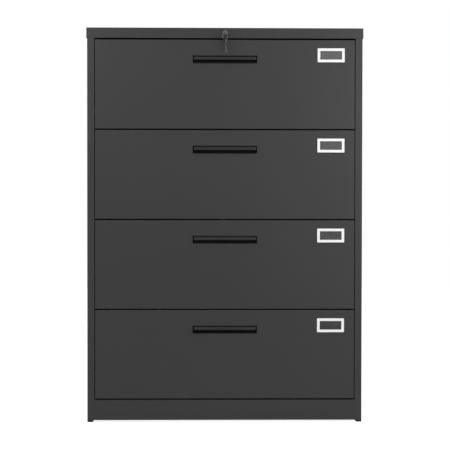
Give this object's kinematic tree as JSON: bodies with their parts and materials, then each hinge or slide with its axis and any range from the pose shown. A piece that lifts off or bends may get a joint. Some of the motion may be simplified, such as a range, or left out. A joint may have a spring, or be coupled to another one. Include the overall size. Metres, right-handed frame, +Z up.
{
  "type": "lateral filing cabinet",
  "caption": "Lateral filing cabinet in dark charcoal steel with wide flush drawers, black recessed pulls, white card holders and a lock with its key in the cap.",
  "frame": {"origin": "on the floor, under the middle of the whole envelope, from the end of the key's bow to the back of the cap", "axes": "+Z up, -Y out of the front, +X to the right of someone who faces the front"},
  "size_m": [0.9, 0.481, 1.283],
  "materials": {
    "charcoal_paint": "fine-textured powder coat",
    "handle_plastic": "satin moulded",
    "foot_plastic": "moulded",
    "card_plastic": "moulded",
    "window_plastic": "clear",
    "slide_steel": "zinc plated",
    "screw_steel": "zinc plated",
    "lock_metal": "nickel plated",
    "key_metal": "nickel plated"
  },
  "bodies": {
    "root": {"left_side_panel": "charcoal_paint", "right_side_panel": "charcoal_paint", "back_panel": "charcoal_paint", "bottom_panel": "charcoal_paint", "kick_plate": "charcoal_paint", "top_panel": "charcoal_paint", "feet": "foot_plastic", "left_uprights": "charcoal_paint", "right_uprights": "charcoal_paint", "left_slide_outers": "slide_steel", "right_slide_outers": "slide_steel", "lock_guides": "slide_steel", "screws": "screw_steel", "lock_barrel": "lock_metal", "lock_nut": "lock_metal"},
    "lock": {"lock_plug": "lock_metal", "lock_rod": "slide_steel", "lock_cam": "slide_steel"},
    "lock_bar": {"lock_bar": "slide_steel"},
    "key": {"key": "key_metal"},
    "drawer_1": {"drawer_front_1": "charcoal_paint", "front_liner_1": "charcoal_paint", "drawer_pan_1": "charcoal_paint", "drawer_sides_1": "charcoal_paint", "handle_1": "handle_plastic", "card_frame_1": "card_plastic", "card_window_1": "window_plastic", "hanger_bars_1": "slide_steel", "slide_inner_1": "slide_steel"},
    "slide_middle_1": {"slide_middle_1": "slide_steel"},
    "drawer_2": {"drawer_front_2": "charcoal_paint", "front_liner_2": "charcoal_paint", "drawer_pan_2": "charcoal_paint", "drawer_sides_2": "charcoal_paint", "handle_2": "handle_plastic", "card_frame_2": "card_plastic", "card_window_2": "window_plastic", "hanger_bars_2": "slide_steel", "slide_inner_2": "slide_steel"},
    "slide_middle_2": {"slide_middle_2": "slide_steel"},
    "drawer_3": {"drawer_front_3": "charcoal_paint", "front_liner_3": "charcoal_paint", "drawer_pan_3": "charcoal_paint", "drawer_sides_3": "charcoal_paint", "handle_3": "handle_plastic", "card_frame_3": "card_plastic", "card_window_3": "window_plastic", "hanger_bars_3": "slide_steel", "slide_inner_3": "slide_steel"},
    "slide_middle_3": {"slide_middle_3": "slide_steel"},
    "drawer_4": {"drawer_front_4": "charcoal_paint", "front_liner_4": "charcoal_paint", "drawer_pan_4": "charcoal_paint", "drawer_sides_4": "charcoal_paint", "handle_4": "handle_plastic", "card_frame_4": "card_plastic", "card_window_4": "window_plastic", "hanger_bars_4": "slide_steel", "slide_inner_4": "slide_steel"},
    "slide_middle_4": {"slide_middle_4": "slide_steel"}
  },
  "joints": [
    {"name": "drawer_1_slide", "type": "slide", "parent": "root", "child": "drawer_1", "axis": [0, -1, 0], "range_m": [0, 0.38]},
    {"name": "slide_middle_1_slide", "type": "slide", "parent": "root", "child": "slide_middle_1", "axis": [0, -1, 0], "range_m": [0, 0.19]},
    {"name": "drawer_2_slide", "type": "slide", "parent": "root", "child": "drawer_2", "axis": [0, -1, 0], "range_m": [0, 0.38]},
    {"name": "slide_middle_2_slide", "type": "slide", "parent": "root", "child": "slide_middle_2", "axis": [0, -1, 0], "range_m": [0, 0.19]},
    {"name": "drawer_3_slide", "type": "slide", "parent": "root", "child": "drawer_3", "axis": [0, -1, 0], "range_m": [0, 0.38]},
    {"name": "slide_middle_3_slide", "type": "slide", "parent": "root", "child": "slide_middle_3", "axis": [0, -1, 0], "range_m": [0, 0.19]},
    {"name": "drawer_4_slide", "type": "slide", "parent": "root", "child": "drawer_4", "axis": [0, -1, 0], "range_m": [0, 0.38]},
    {"name": "slide_middle_4_slide", "type": "slide", "parent": "root", "child": "slide_middle_4", "axis": [0, -1, 0], "range_m": [0, 0.19]},
    {"name": "lock_turn", "type": "hinge", "parent": "root", "child": "lock", "pos_m": [0, -0.21295, 1.26625], "axis": [0, 1, 0], "range_deg": [0, 90]},
    {"name": "lock_bar_drop", "type": "slide", "parent": "root", "child": "lock_bar", "axis": [0, 0, -1], "range_m": [0, 0.01414]},
    {"name": "key_pull", "type": "slide", "parent": "lock", "child": "key", "axis": [0, -1, 0], "range_m": [0, 0.03]}
  ],
  "couplings": [
    {"joint": "slide_middle_1_slide", "follows": "drawer_1_slide", "ratio": 0.5},
    {"joint": "slide_middle_2_slide", "follows": "drawer_2_slide", "ratio": 0.5},
    {"joint": "slide_middle_3_slide", "follows": "drawer_3_slide", "ratio": 0.5},
    {"joint": "slide_middle_4_slide", "follows": "drawer_4_slide", "ratio": 0.5},
    {"joint": "lock_turn", "follows": "lock_bar_drop", "rad_per_m": 111.07}
  ]
}
